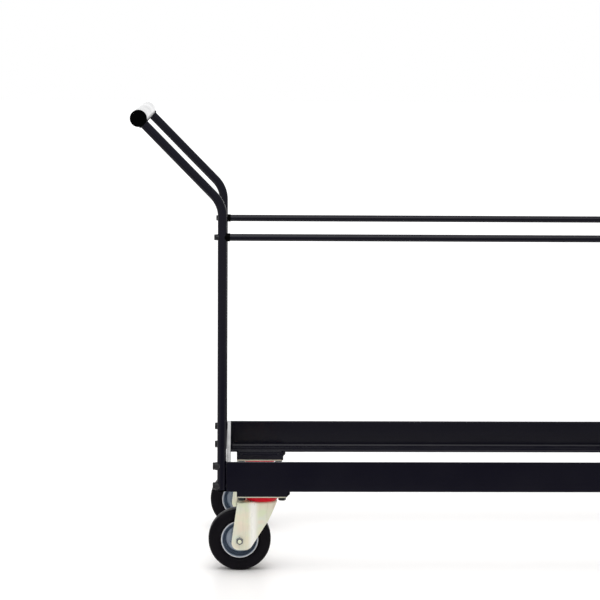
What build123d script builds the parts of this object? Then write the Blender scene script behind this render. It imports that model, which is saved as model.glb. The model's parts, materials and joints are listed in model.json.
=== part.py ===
from build123d import *

import os
from math import cos, radians, sin, sqrt, tan

# Folding chair trolley, in millimetres. +X runs from the handle end to the front end, +Y is to the left of
# someone pushing it and +Z is up. The origin is on the floor, under the middle of the overall box.

# Base frame: two steel angles, shelf inwards, closed at each end by a flat bar on edge
BASE_LENGTH = 1300.0
BASE_WIDTH = 500.0
RAIL_HEIGHT = 60.0
RAIL_SHELF = 50.0
RAIL_WALL = 5.0
RAIL_ROOT_RADIUS = 6.0
RAIL_TOE_RADIUS = 2.5
END_BAR_THICKNESS = 8.0
END_BAR_EDGE_RADIUS = 1.0
END_BAR_CORNER_RADIUS = 2.0

# Handle end: two bent posts and the grip bar, each height taken from the one below: side rail, bend, bar
POST_DIAMETER = 18.0
POST_WALL = 1.5
POST_BEND_RADIUS = 60.0
POST_BEND_ABOVE_RAIL = 65.0
HANDLE_REACH = 164.0
HANDLE_RISE = 167.0
HANDLE_DIAMETER = 33.7
HANDLE_WALL = 2.0
HANDLE_PLUG_DEPTH = 20.0
HANDLE_PLUG_EDGE_RADIUS = 1.0
FOOT_PLUG_DEPTH = 18.0
PLUG_FLANGE = 3.0

# Front hoop and the two side rails between the ends, which stand above the underside of the base
SIDE_RAIL_RISE = 505.0
HOOP_ABOVE_RAIL = 92.0
SIDE_RAIL_DIAMETER = 14.0
SIDE_RAIL_WALL = 1.5
SIDE_RAIL_INSERT_DEPTH = 20.0
SPACER_DIAMETER = 16.0
SPACER_THICKNESS = 6.0

# Bolts: thread, width across the flats and head height, and the bevel on every tip
BOLT_TIP_BEVEL = 0.8
FRAME_BOLT = 8.0
FRAME_BOLT_FLATS = 13.0
FRAME_BOLT_HEAD = 5.3
FRAME_BOLT_SPACING = 40.0
FRAME_WASHER_DIAMETER = 16.0
FRAME_WASHER_THICKNESS = 3.5
RAIL_BOLT = 6.0
RAIL_BOLT_FLATS = 10.0
RAIL_BOLT_HEAD = 4.0
RAIL_WASHER_DIAMETER = 12.0
RAIL_WASHER_THICKNESS = 3.0
CASTER_BOLT = 8.0
CASTER_BOLT_FLATS = 13.0
CASTER_BOLT_HEAD = 5.3
CASTER_WASHER_DIAMETER = 15.0
CASTER_WASHER_THICKNESS = 1.6

# Caster pads welded under the corners, and the caster plates bolted to them
CASTER_INSET = 71.0
PAD_LENGTH = 100.0
PAD_WIDTH = 90.0
PAD_THICKNESS = 10.0
PLATE_LENGTH = 100.0
PLATE_WIDTH = 85.0
PLATE_THICKNESS = 2.5
PLATE_CORNER_RADIUS = 8.0
PLATE_HOLES_X = 80.0
PLATE_HOLES_Y = 60.0

# Wheel: solid rubber tyre on two pressed rim halves, a hub tube and a roller bearing
WHEEL_DIAMETER = 125.0
TYRE_WIDTH = 37.0
TYRE_SHOULDER_RADIUS = 7.5
TYRE_BEAD_STEP = 4.0
RIM_DIAMETER = 75.0
RIM_WIDTH = 28.0
RIM_SHEET = 2.0
RIM_WELL_DIAMETER = 56.0
RIM_FLANGE = 2.6
RIM_LIP_ROUNDING = 0.45
RIM_COLLAR = 10.0
RIVET_COUNT = 4
RIVET_DIAMETER = 4.0
RIVET_HEAD_DIAMETER = 7.0
RIVET_HEAD = 1.8
RIVET_HEAD_RADIUS = 1.2
RIVET_PITCH = 44.0
RIVET_TURN = 25.0
BEAD_DEPTH = 6.5
HUB_WALL = 2.4
ROLLER_DIAMETER = 4.5
ROLLER_LENGTH = 30.0
ROLLER_COUNT = 8
CAGE_WALL = 2.8
CAGE_END_RING = 4.0

# Axle: bolt, lock nut and the sleeve that the rollers run on
AXLE_BOLT = 8.0
AXLE_FLATS = 13.0
AXLE_HEAD = 5.3
AXLE_NUT = 6.0
AXLE_NUT_COLLAR = 2.0
AXLE_NUT_COLLAR_DIAMETER = 11.6
AXLE_NUT_COLLAR_RADIUS = 1.0
AXLE_TIP = 2.0
AXLE_SLEEVE_DIAMETER = 12.0

# Fork: a pressed sheet horseshoe, whose flanks start to bend in ahead of the swivel axis, with the distances of
# its side outline taken from the axle, and a rounded mouth in the front of its crown
CASTER_TRAIL = 44.0
FORK_SHEET = 3.0
FORK_CROWN_FLARE = 3.5
FORK_CURVE_LEAD = 23.0
FORK_FLANK_ANGLE = 14.0
FORK_FLANK_BEND = 50.0
FORK_BEND_RADIUS = 4.0
FORK_TAPER_HEIGHT = 46.0
FORK_FRONT_TOP = 5.0
FORK_FRONT_FOOT = 18.5
FORK_REAR_FOOT = 19.0
FORK_BELOW_AXLE = 19.0
FORK_ELBOW_REACH = 58.0
FORK_ELBOW_RISE = 41.0
FORK_ELBOW_RADIUS = 60.0
FORK_FRONT_RADIUS = 15.0
FORK_REAR_RADIUS = 18.0
FORK_MOUTH_LEAD = 35.0
FORK_MOUTH_RADIUS = 12.0
WHEEL_TOP_CLEARANCE = 13.0
TYRE_SIDE_CLEARANCE = 6.5
HUB_SIDE_CLEARANCE = 1.0

# Swivel head: two rings of balls, a king pin, a lower race and a dust ring
HEAD_GAP = 11.5
RACE_GAP = 2.0
RACE_RIM = 1.5
UPPER_BALL = 6.0
UPPER_BALL_PITCH = 42.0
UPPER_BALL_COUNT = 18
LOWER_BALL = 5.0
LOWER_BALL_PITCH = 28.0
LOWER_BALL_COUNT = 14
LOWER_RACE_THICKNESS = 4.0
KING_PIN_DIAMETER = 12.0
KING_PIN_HEAD = 4.0
KING_PIN_HEAD_DIAMETER = 20.0
KING_PIN_CHAMFER = 2.0
DUST_RING_WALL = 8.95
DUST_RING_TAPER = 5.0
DUST_RING_EDGE_RADIUS = 2.5

# Fixed bracket at the front end
BRACKET_BOLT_CLEARANCE = 2.5
BRACKET_FOOT_RADIUS = 18.0

# Clearances: pieces that seat on each other, threads, plain holes, running fits and the turning dust ring
SEAT_GAP = 0.05
THREAD_GAP = 0.05
HOLE_CLEARANCE = 0.5
RUNNING_GAP = 0.05
BALL_GAP = 0.1
DUST_RING_GAP = 0.6

# Heights worked out from the floor up
AXLE_Z = WHEEL_DIAMETER / 2
CROWN_UNDER_Z = WHEEL_DIAMETER + WHEEL_TOP_CLEARANCE
CROWN_TOP_Z = CROWN_UNDER_Z + FORK_SHEET
PLATE_UNDER_Z = CROWN_TOP_Z + HEAD_GAP
PLATE_TOP_Z = PLATE_UNDER_Z + PLATE_THICKNESS
FRAME_BOTTOM = PLATE_TOP_Z + PAD_THICKNESS
FRAME_TOP = FRAME_BOTTOM + RAIL_HEIGHT
SIDE_RAIL_Z = FRAME_BOTTOM + SIDE_RAIL_RISE
BEND_Z = SIDE_RAIL_Z + POST_BEND_ABOVE_RAIL
HANDLE_Z = BEND_Z + HANDLE_RISE
HOOP_Z = SIDE_RAIL_Z + HOOP_ABOVE_RAIL
FRAME_MIDDLE = FRAME_BOTTOM + RAIL_HEIGHT / 2
FRAME_BOLT_HEIGHTS = (FRAME_MIDDLE - FRAME_BOLT_SPACING / 2, FRAME_MIDDLE + FRAME_BOLT_SPACING / 2)

# Places along the trolley: the overall box runs from the grip bar to the front bolt heads
POST_SEAT = POST_DIAMETER / 2 + SEAT_GAP
REAR_REACH = POST_SEAT + HANDLE_REACH + HANDLE_DIAMETER / 2
FRONT_REACH = 2 * POST_SEAT + FRAME_WASHER_THICKNESS + FRAME_BOLT_HEAD
BASE_REAR_X = REAR_REACH - (REAR_REACH + BASE_LENGTH + FRONT_REACH) / 2
BASE_FRONT_X = BASE_REAR_X + BASE_LENGTH
REAR_POST_X = BASE_REAR_X - POST_SEAT
FRONT_POST_X = BASE_FRONT_X + POST_SEAT
HANDLE_X = REAR_POST_X - HANDLE_REACH
REAR_CASTER_X = BASE_REAR_X + CASTER_INSET
FRONT_CASTER_X = BASE_FRONT_X - CASTER_INSET
REAR_AXLE_X = REAR_CASTER_X - CASTER_TRAIL

# Places across the trolley
POST_Y = BASE_WIDTH / 2 - POST_DIAMETER / 2
CASTER_Y = BASE_WIDTH / 2 - PAD_WIDTH / 2
FORK_INNER_HALF = TYRE_WIDTH / 2 + TYRE_SIDE_CLEARANCE
FORK_OUTER_HALF = FORK_INNER_HALF + FORK_SHEET
FORK_CROWN_RADIUS = FORK_OUTER_HALF + FORK_CROWN_FLARE
HUB_HALF = FORK_INNER_HALF - HUB_SIDE_CLEARANCE

SIDES = {"right": -1, "left": 1}
ENDS = {-1: REAR_POST_X, 1: FRONT_POST_X}


# Shared shapes
ON_BASE = (Align.CENTER, Align.CENTER, Align.MIN)


def square_to(start, run):
    """The plane at start that faces along run, with its first axis upright where it can be."""
    upright = abs(run.Z) < run.length / 2
    return Plane(origin=start, x_dir=(0, 0, 1) if upright else (1, 0, 0), z_dir=run)


def rod(start, end, radius):
    run = Vector(end) - Vector(start)
    return square_to(start, run) * Cylinder(radius, run.length, align=ON_BASE)


def ring(start, end, outer, inner):
    return rod(start, end, outer) - rod(start, end, inner)


def hexagon(start, end, flats):
    """A hexagon bar from its seat to its rounded-off end."""
    run = Vector(end) - Vector(start)
    corner = flats / sqrt(3)
    prism = extrude(RegularPolygon(corner, 6), run.length)
    barrel = Cylinder(corner, run.length, align=ON_BASE)
    barrel = chamfer(barrel.edges().sort_by(Axis.Z)[-1], corner - flats / 2)
    return square_to(start, run) * (prism & barrel)


def bolt(seat, tip, thread, flats, head):
    """A hexagon bolt with the underside of its head at seat."""
    way = (Vector(tip) - Vector(seat)).normalized()
    shank = rod(seat, tip, thread / 2)
    shank = chamfer(shank.edges().filter_by(GeomType.CIRCLE).sort_by_distance(tip)[0], BOLT_TIP_BEVEL)
    return shank + hexagon(seat, Vector(seat) - way * head, flats)


def outline(*corners):
    """A flat face through corners given as (x, y), or as (x, y, radius) where the corner is rounded."""
    face = make_face(Polyline(*[corner[:2] for corner in corners], close=True))
    for x, y, *radius in corners:
        if radius:
            vertex = face.vertices().sort_by_distance((x, y, 0))[0]
            face = fillet(vertex, radius[0])
    return face


def bent_tube(points, bend, diameter, wall):
    path = FilletPolyline(*points, radius=bend)
    section = Circle(diameter / 2) - Circle(diameter / 2 - wall)
    return sweep(Plane(origin=path @ 0, z_dir=path % 0) * section, path=path)


def saddle(centre, way, thickness, diameter, hole):
    """A round spacer hollowed to sit on the side of an upright post, flat on the face towards way."""
    centre, way = Vector(centre), Vector(way)
    up = Vector(0, 0, diameter)
    body = ring(centre, centre + way * (POST_SEAT + thickness), diameter / 2, hole)
    return body - rod(centre - up, centre + up, POST_SEAT)


def group(shapes):
    return Compound(children=list(shapes))


# Base frame
def base_rail(side):
    """A steel angle: upright outside, shelf inwards at the bottom."""
    profile = outline(
        (0, 0),
        (RAIL_SHELF, 0),
        (RAIL_SHELF, RAIL_WALL, RAIL_TOE_RADIUS),
        (RAIL_WALL, RAIL_WALL, RAIL_ROOT_RADIUS),
        (RAIL_WALL, RAIL_HEIGHT, RAIL_TOE_RADIUS),
        (0, RAIL_HEIGHT),
    )
    rear = Vector(BASE_REAR_X + END_BAR_THICKNESS, -BASE_WIDTH / 2, FRAME_BOTTOM)
    section = Plane(origin=rear, x_dir=(0, 1, 0), z_dir=(1, 0, 0)) * profile
    rail = extrude(section, BASE_LENGTH - 2 * END_BAR_THICKNESS)
    return rail if side < 0 else mirror(rail, Plane.XZ)


def end_bar(end):
    """A flat bar on edge across the ends of the rails, tapped for the post bolts."""
    outer = BASE_REAR_X if end < 0 else BASE_FRONT_X
    middle = outer - end * END_BAR_THICKNESS / 2
    bar = Box(END_BAR_THICKNESS, BASE_WIDTH, RAIL_HEIGHT)
    corners = bar.edges().filter_by(Axis.Z).group_by(Axis.X)[0 if end < 0 else -1]
    bar = fillet(corners, END_BAR_CORNER_RADIUS)
    bar = Pos(middle, 0, FRAME_MIDDLE) * fillet(bar.edges().filter_by(Axis.Y), END_BAR_EDGE_RADIUS)
    inner = outer - end * END_BAR_THICKNESS
    for y in (-POST_Y, POST_Y):
        for z in FRAME_BOLT_HEIGHTS:
            bar -= rod((outer, y, z), (inner, y, z), FRAME_BOLT / 2 + THREAD_GAP)
    return bar


# Posts, grip bar and hoop
def drilled(post, end, sides):
    """The post with its frame bolt holes and side rail holes through both walls."""
    x = ENDS[end]
    frame_hole = FRAME_BOLT / 2 + HOLE_CLEARANCE
    rail_hole = RAIL_BOLT / 2 + HOLE_CLEARANCE
    for side in sides:
        holes = [(z, frame_hole) for z in FRAME_BOLT_HEIGHTS] + [(SIDE_RAIL_Z, rail_hole)]
        for z, radius in holes:
            y = side * POST_Y
            post -= rod((x - POST_DIAMETER, y, z), (x + POST_DIAMETER, y, z), radius)
    return post


def handle_post(side):
    y = side * POST_Y
    foot = (REAR_POST_X, y, FRAME_BOTTOM + PLUG_FLANGE)
    corner = (REAR_POST_X, y, BEND_Z)
    top = (HANDLE_X, y, HANDLE_Z)
    post = bent_tube([foot, corner, top], POST_BEND_RADIUS, POST_DIAMETER, POST_WALL)
    bar_start = (HANDLE_X, -BASE_WIDTH, HANDLE_Z)
    bar_end = (HANDLE_X, BASE_WIDTH, HANDLE_Z)
    post -= rod(bar_start, bar_end, HANDLE_DIAMETER / 2 + SEAT_GAP)
    return drilled(post, -1, [side])


def front_hoop():
    foot_z = FRAME_BOTTOM + PLUG_FLANGE
    places = [(-POST_Y, foot_z), (-POST_Y, HOOP_Z), (POST_Y, HOOP_Z), (POST_Y, foot_z)]
    points = [(FRONT_POST_X, y, z) for y, z in places]
    return drilled(bent_tube(points, POST_BEND_RADIUS, POST_DIAMETER, POST_WALL), 1, (-1, 1))


def handle_bar():
    half = BASE_WIDTH / 2 - PLUG_FLANGE
    radius = HANDLE_DIAMETER / 2
    return ring((HANDLE_X, -half, HANDLE_Z), (HANDLE_X, half, HANDLE_Z), radius, radius - HANDLE_WALL)


def handle_bar_plug(side):
    """A flush plug: flange over the tube's end and a stem inside it."""
    face = Vector(HANDLE_X, side * BASE_WIDTH / 2, HANDLE_Z)
    inward = Vector(0, -side, 0)
    seat = face + inward * PLUG_FLANGE
    flange = rod(seat, face, HANDLE_DIAMETER / 2)
    flange = fillet(flange.edges().sort_by_distance(face)[0], HANDLE_PLUG_EDGE_RADIUS)
    stem_radius = HANDLE_DIAMETER / 2 - HANDLE_WALL - SEAT_GAP
    return flange + rod(seat, seat + inward * HANDLE_PLUG_DEPTH, stem_radius)


def foot_plug(end, side):
    """A plug in a post's foot, pierced by the lower frame bolt."""
    foot = Vector(ENDS[end], side * POST_Y, FRAME_BOTTOM)
    seat = foot + Vector(0, 0, PLUG_FLANGE)
    flange = rod(foot, seat, POST_DIAMETER / 2)
    stem = rod(seat, seat + Vector(0, 0, FOOT_PLUG_DEPTH), POST_DIAMETER / 2 - POST_WALL - SEAT_GAP)
    across = Vector(POST_DIAMETER, 0, 0)
    bolt_line = Vector(foot.X, foot.Y, FRAME_BOLT_HEIGHTS[0])
    return flange + stem - rod(bolt_line - across, bolt_line + across, FRAME_BOLT / 2 + HOLE_CLEARANCE)


# Side rails
RAIL_END_GAP = POST_SEAT + SPACER_THICKNESS


def side_rail(side):
    y = side * POST_Y
    rear = (REAR_POST_X + RAIL_END_GAP, y, SIDE_RAIL_Z)
    front = (FRONT_POST_X - RAIL_END_GAP, y, SIDE_RAIL_Z)
    radius = SIDE_RAIL_DIAMETER / 2
    return ring(rear, front, radius, radius - SIDE_RAIL_WALL)


def side_rail_insert(end, side):
    """A tapped plug fixed in the rail's end."""
    face = Vector(ENDS[end] - end * RAIL_END_GAP, side * POST_Y, SIDE_RAIL_Z)
    inner = face + Vector(-end * SIDE_RAIL_INSERT_DEPTH, 0, 0)
    radius = SIDE_RAIL_DIAMETER / 2 - SIDE_RAIL_WALL - SEAT_GAP
    return ring(face, inner, radius, RAIL_BOLT / 2 + THREAD_GAP)


def side_rail_spacer(end, side):
    centre = (ENDS[end], side * POST_Y, SIDE_RAIL_Z)
    hole = RAIL_BOLT / 2 + HOLE_CLEARANCE
    return saddle(centre, (-end, 0, 0), SPACER_THICKNESS, SPACER_DIAMETER, hole)


def side_rail_washer(end, side):
    centre = (ENDS[end], side * POST_Y, SIDE_RAIL_Z)
    hole = RAIL_BOLT / 2 + HOLE_CLEARANCE
    return saddle(centre, (end, 0, 0), RAIL_WASHER_THICKNESS, RAIL_WASHER_DIAMETER, hole)


def side_rail_bolt(end, side):
    centre = Vector(ENDS[end], side * POST_Y, SIDE_RAIL_Z)
    out = Vector(end, 0, 0)
    seat = centre + out * (POST_SEAT + RAIL_WASHER_THICKNESS)
    tip = centre - out * (RAIL_END_GAP + SIDE_RAIL_INSERT_DEPTH)
    return bolt(seat, tip, RAIL_BOLT, RAIL_BOLT_FLATS, RAIL_BOLT_HEAD)


# Frame bolts
def frame_bolt(end, side, z):
    centre = Vector(ENDS[end], side * POST_Y, z)
    out = Vector(end, 0, 0)
    seat = centre + out * (POST_SEAT + FRAME_WASHER_THICKNESS)
    tip = centre - out * (POST_SEAT + END_BAR_THICKNESS)
    return bolt(seat, tip, FRAME_BOLT, FRAME_BOLT_FLATS, FRAME_BOLT_HEAD)


def frame_washer(end, side, z):
    hole = FRAME_BOLT / 2 + HOLE_CLEARANCE
    centre = (ENDS[end], side * POST_Y, z)
    return saddle(centre, (end, 0, 0), FRAME_WASHER_THICKNESS, FRAME_WASHER_DIAMETER, hole)


# Caster pads, plates and their bolts
PLATE_HOLES = [
    (sx * PLATE_HOLES_X / 2, sy * PLATE_HOLES_Y / 2) for sx in (-1, 1) for sy in (-1, 1)
]


def caster_pad():
    pad = Pos(0, 0, PLATE_TOP_Z) * Box(PAD_LENGTH, PAD_WIDTH, PAD_THICKNESS, align=ON_BASE)
    for x, y in PLATE_HOLES:
        pad -= rod((x, y, PLATE_TOP_Z), (x, y, FRAME_BOTTOM), CASTER_BOLT / 2 + THREAD_GAP)
    return pad


def caster_plate():
    face = RectangleRounded(PLATE_LENGTH, PLATE_WIDTH, PLATE_CORNER_RADIUS)
    plate = Pos(0, 0, PLATE_UNDER_Z) * extrude(face, PLATE_THICKNESS)
    for x, y in PLATE_HOLES:
        plate -= rod((x, y, PLATE_UNDER_Z), (x, y, PLATE_TOP_Z), CASTER_BOLT / 2 + HOLE_CLEARANCE)
    return plate


def caster_washer(x, y):
    low = PLATE_UNDER_Z - CASTER_WASHER_THICKNESS
    hole = CASTER_BOLT / 2 + HOLE_CLEARANCE
    return ring((x, y, low), (x, y, PLATE_UNDER_Z), CASTER_WASHER_DIAMETER / 2, hole)


def caster_bolt(x, y):
    seat = (x, y, PLATE_UNDER_Z - CASTER_WASHER_THICKNESS)
    return bolt(seat, (x, y, FRAME_BOTTOM), CASTER_BOLT, CASTER_BOLT_FLATS, CASTER_BOLT_HEAD)


# Swivel head, about the swivel axis
BALL_Z = CROWN_TOP_Z + HEAD_GAP / 2
RACE_INNER = UPPER_BALL_PITCH / 2 - UPPER_BALL / 2 - RACE_RIM
RACE_OUTER = UPPER_BALL_PITCH / 2 + UPPER_BALL / 2 + RACE_RIM
LOWER_BALL_Z = CROWN_UNDER_Z - BALL_GAP - LOWER_BALL / 2
LOWER_RACE_TOP_Z = LOWER_BALL_Z - RACE_GAP / 2
LOWER_RACE_UNDER_Z = LOWER_RACE_TOP_Z - LOWER_RACE_THICKNESS
KING_PIN_RADIUS = KING_PIN_DIAMETER / 2


def ball_groove(z, pitch, ball):
    return Pos(0, 0, z) * Torus(pitch / 2, ball / 2 + BALL_GAP)


def swivel_plate():
    """The caster plate with the upper ball race under it and a countersink for the king pin."""
    boss = ring((0, 0, BALL_Z + RACE_GAP / 2), (0, 0, PLATE_UNDER_Z), RACE_OUTER, RACE_INNER)
    plate = caster_plate() + boss - ball_groove(BALL_Z, UPPER_BALL_PITCH, UPPER_BALL)
    return plate - countersink(SEAT_GAP)


def countersink(gap):
    """The king pin's flush conical head, grown by a gap all round."""
    small, large = KING_PIN_RADIUS + gap, KING_PIN_RADIUS + PLATE_THICKNESS + gap
    return Pos(0, 0, PLATE_UNDER_Z) * Cone(small, large, PLATE_THICKNESS, align=ON_BASE)


def king_pin():
    low = LOWER_RACE_UNDER_Z - KING_PIN_HEAD
    shaft = rod((0, 0, low), (0, 0, PLATE_TOP_Z), KING_PIN_RADIUS)
    head = rod((0, 0, LOWER_RACE_UNDER_Z), (0, 0, low), KING_PIN_HEAD_DIAMETER / 2)
    head = chamfer(head.edges().sort_by(Axis.Z)[0], KING_PIN_CHAMFER)
    return shaft + head + countersink(0)


def lower_race():
    outer = LOWER_BALL_PITCH / 2 + LOWER_BALL / 2 + RACE_RIM
    low, high = (0, 0, LOWER_RACE_UNDER_Z), (0, 0, LOWER_RACE_TOP_Z)
    race = ring(low, high, outer, KING_PIN_RADIUS + SEAT_GAP)
    return race - ball_groove(LOWER_BALL_Z, LOWER_BALL_PITCH, LOWER_BALL)


def ball_ring(z, pitch, ball, count):
    return [
        Pos(pitch / 2 * cos(turn), pitch / 2 * sin(turn), z) * Sphere(ball / 2)
        for turn in (radians(360 * i / count) for i in range(count))
    ]


def swivel_balls():
    upper = ball_ring(BALL_Z, UPPER_BALL_PITCH, UPPER_BALL, UPPER_BALL_COUNT)
    return upper + ball_ring(LOWER_BALL_Z, LOWER_BALL_PITCH, LOWER_BALL, LOWER_BALL_COUNT)


def dust_ring():
    """A tapered plastic ring round the upper race, under the plate."""
    low = CROWN_TOP_Z + DUST_RING_GAP
    inner = RACE_OUTER + SEAT_GAP
    outer = inner + DUST_RING_WALL
    section = outline(
        (inner, low),
        (outer - DUST_RING_TAPER, low),
        (outer, low + (PLATE_UNDER_Z - low) / 2, DUST_RING_EDGE_RADIUS),
        (outer, PLATE_UNDER_Z),
        (inner, PLATE_UNDER_Z),
    )
    return revolve(Plane.XZ * section, Axis.Z)


# Fork, about the swivel axis, with its axle on the -X side
def horseshoe(half, z):
    """Two straight legs towards the wheel, which bend in to flat flanks and a round back behind the swivel axis."""
    legs_end = -CASTER_TRAIL - WHEEL_DIAMETER / 2
    turn = radians(FORK_FLANK_ANGLE)
    bend = FORK_FLANK_BEND * tan(turn / 2) - FORK_CURVE_LEAD
    apex = bend + half / tan(turn)
    back_radius = (apex - half) / (1 / sin(turn) - 1)
    face = outline(
        (legs_end, -half),
        (bend, -half, FORK_FLANK_BEND),
        (apex, 0, back_radius),
        (bend, half, FORK_FLANK_BEND),
        (legs_end, half),
    )
    return Pos(0, 0, z) * face


def horseshoe_block(crown_half, leg_half, top, bottom):
    """A solid horseshoe that tapers in from the crown and then drops straight down."""
    knee = CROWN_TOP_Z - FORK_TAPER_HEIGHT
    taper = loft([horseshoe(leg_half, knee), horseshoe(crown_half, top)])
    return taper + extrude(horseshoe(leg_half, knee), bottom - knee)


def fork_side():
    """The fork seen from the side, extruded across it."""
    axle = -CASTER_TRAIL
    top = CROWN_TOP_Z
    foot = AXLE_Z - FORK_BELOW_AXLE
    face = outline(
        (axle - FORK_FRONT_TOP, top),
        (axle - FORK_FRONT_FOOT, foot, FORK_FRONT_RADIUS),
        (axle + FORK_REAR_FOOT, foot, FORK_REAR_RADIUS),
        (axle + FORK_ELBOW_REACH, AXLE_Z + FORK_ELBOW_RISE, FORK_ELBOW_RADIUS),
        (FORK_CROWN_RADIUS, top),
    )
    return extrude(Plane.XZ * face, 2 * FORK_CROWN_RADIUS, both=True)


def fork_mouth():
    """The recess between the legs in the front edge of the crown."""
    front = -CASTER_TRAIL - WHEEL_DIAMETER / 2
    face = outline(
        (front, -FORK_INNER_HALF),
        (-FORK_MOUTH_LEAD, -FORK_INNER_HALF, FORK_MOUTH_RADIUS),
        (-FORK_MOUTH_LEAD, FORK_INNER_HALF, FORK_MOUTH_RADIUS),
        (front, FORK_INNER_HALF),
    )
    return Pos(0, 0, CROWN_UNDER_Z - FORK_SHEET) * extrude(face, 3 * FORK_SHEET)


def fork():
    foot = AXLE_Z - 2 * FORK_BELOW_AXLE
    outer = horseshoe_block(FORK_CROWN_RADIUS, FORK_OUTER_HALF, CROWN_TOP_Z, foot)
    outer = fillet(outer.faces().sort_by(Axis.Z)[-1].edges(), FORK_BEND_RADIUS)
    taper = (FORK_CROWN_RADIUS - FORK_OUTER_HALF) / FORK_TAPER_HEIGHT
    crown_inside = FORK_CROWN_RADIUS - FORK_SHEET * (1 + taper)
    inner = horseshoe_block(crown_inside, FORK_INNER_HALF, CROWN_UNDER_Z, foot)
    pressed = (outer - inner) & fork_side()
    pressed -= fork_mouth()
    race_top = (0, 0, BALL_Z - RACE_GAP / 2)
    race = ring((0, 0, CROWN_TOP_Z), race_top, RACE_OUTER - DUST_RING_GAP, RACE_INNER)
    pressed = pressed + race - ball_groove(BALL_Z, UPPER_BALL_PITCH, UPPER_BALL)
    pin_hole = LOWER_BALL_PITCH / 2 - LOWER_BALL / 2 - RACE_RIM
    pressed -= rod((0, 0, CROWN_UNDER_Z), (0, 0, CROWN_TOP_Z), pin_hole)
    return pressed - axle_hole(-CASTER_TRAIL)


def axle_hole(x):
    reach = 2 * FORK_CROWN_RADIUS
    return rod((x, -reach, AXLE_Z), (x, reach, AXLE_Z), AXLE_BOLT / 2 + HOLE_CLEARANCE)


# Fixed bracket, about the middle of its plate
BRACKET_TOP_LENGTH = PLATE_HOLES_X - CASTER_WASHER_DIAMETER - 2 * BRACKET_BOLT_CLEARANCE


def fixed_bracket():
    """The caster plate with a folded channel under it whose cheeks carry the axle."""
    cheek = outline(
        (-FORK_OUTER_HALF, AXLE_Z - BRACKET_FOOT_RADIUS),
        (-FORK_OUTER_HALF, PLATE_UNDER_Z, FORK_BEND_RADIUS),
        (FORK_OUTER_HALF, PLATE_UNDER_Z, FORK_BEND_RADIUS),
        (FORK_OUTER_HALF, AXLE_Z - BRACKET_FOOT_RADIUS),
        (FORK_INNER_HALF, AXLE_Z - BRACKET_FOOT_RADIUS),
        (FORK_INNER_HALF, PLATE_UNDER_Z - FORK_SHEET),
        (-FORK_INNER_HALF, PLATE_UNDER_Z - FORK_SHEET),
        (-FORK_INNER_HALF, AXLE_Z - BRACKET_FOOT_RADIUS),
    )
    channel = extrude(Plane.YZ * cheek, BRACKET_TOP_LENGTH / 2, both=True)
    foot = AXLE_Z - BRACKET_FOOT_RADIUS
    side = outline(
        (-BRACKET_TOP_LENGTH / 2, PLATE_UNDER_Z),
        (-BRACKET_FOOT_RADIUS, foot, FORK_FRONT_RADIUS),
        (BRACKET_FOOT_RADIUS, foot, FORK_FRONT_RADIUS),
        (BRACKET_TOP_LENGTH / 2, PLATE_UNDER_Z),
    )
    channel &= extrude(Plane.XZ * side, 2 * FORK_OUTER_HALF, both=True)
    return caster_plate() + channel - axle_hole(0)


# Axle pieces, along Y through the wheel's middle, with the nut towards the trolley's outside
def axle_bolt(outside):
    seat = (0, -outside * FORK_OUTER_HALF, 0)
    tip = (0, outside * (FORK_OUTER_HALF + AXLE_NUT + AXLE_NUT_COLLAR + AXLE_TIP), 0)
    return bolt(seat, tip, AXLE_BOLT, AXLE_FLATS, AXLE_HEAD)


def axle_nut(outside):
    """A lock nut: hexagon, then a round collar that grips the thread."""
    seat = Vector(0, outside * FORK_OUTER_HALF, 0)
    shoulder = seat + Vector(0, outside * AXLE_NUT, 0)
    top = shoulder + Vector(0, outside * AXLE_NUT_COLLAR, 0)
    collar = rod(shoulder, top, AXLE_NUT_COLLAR_DIAMETER / 2)
    outer_edge = collar.edges().filter_by(GeomType.CIRCLE).sort_by_distance(top)[0]
    collar = fillet(outer_edge, AXLE_NUT_COLLAR_RADIUS)
    return hexagon(seat, shoulder, AXLE_FLATS) + collar - rod(seat, top, AXLE_BOLT / 2 + THREAD_GAP)


def axle_sleeve():
    ends = (0, -FORK_INNER_HALF, 0), (0, FORK_INNER_HALF, 0)
    return ring(*ends, AXLE_SLEEVE_DIAMETER / 2, AXLE_BOLT / 2 + THREAD_GAP)


# Wheel, about the Y axis through its middle
ROLLER_PITCH = AXLE_SLEEVE_DIAMETER / 2 + RUNNING_GAP + ROLLER_DIAMETER / 2
HUB_BORE = ROLLER_PITCH + ROLLER_DIAMETER / 2 + RUNNING_GAP
HUB_RADIUS = HUB_BORE + HUB_WALL
RIM_RADIUS = RIM_DIAMETER / 2
RIM_WELL = RIM_WELL_DIAMETER / 2
RIM_EDGE_Y = RIM_WIDTH / 2
RIM_SLOPE = (RIM_RADIUS - RIM_FLANGE - RIM_WELL) / (RIM_EDGE_Y - RIM_SHEET)
RIVET_TURNS = [radians(RIVET_TURN + 360 * i / RIVET_COUNT) for i in range(RIVET_COUNT)]
RIVET_PLACES = [Vector(cos(turn), 0, sin(turn)) * (RIVET_PITCH / 2) for turn in RIVET_TURNS]


def turned(section):
    return revolve(section, Axis.Y)


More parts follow.
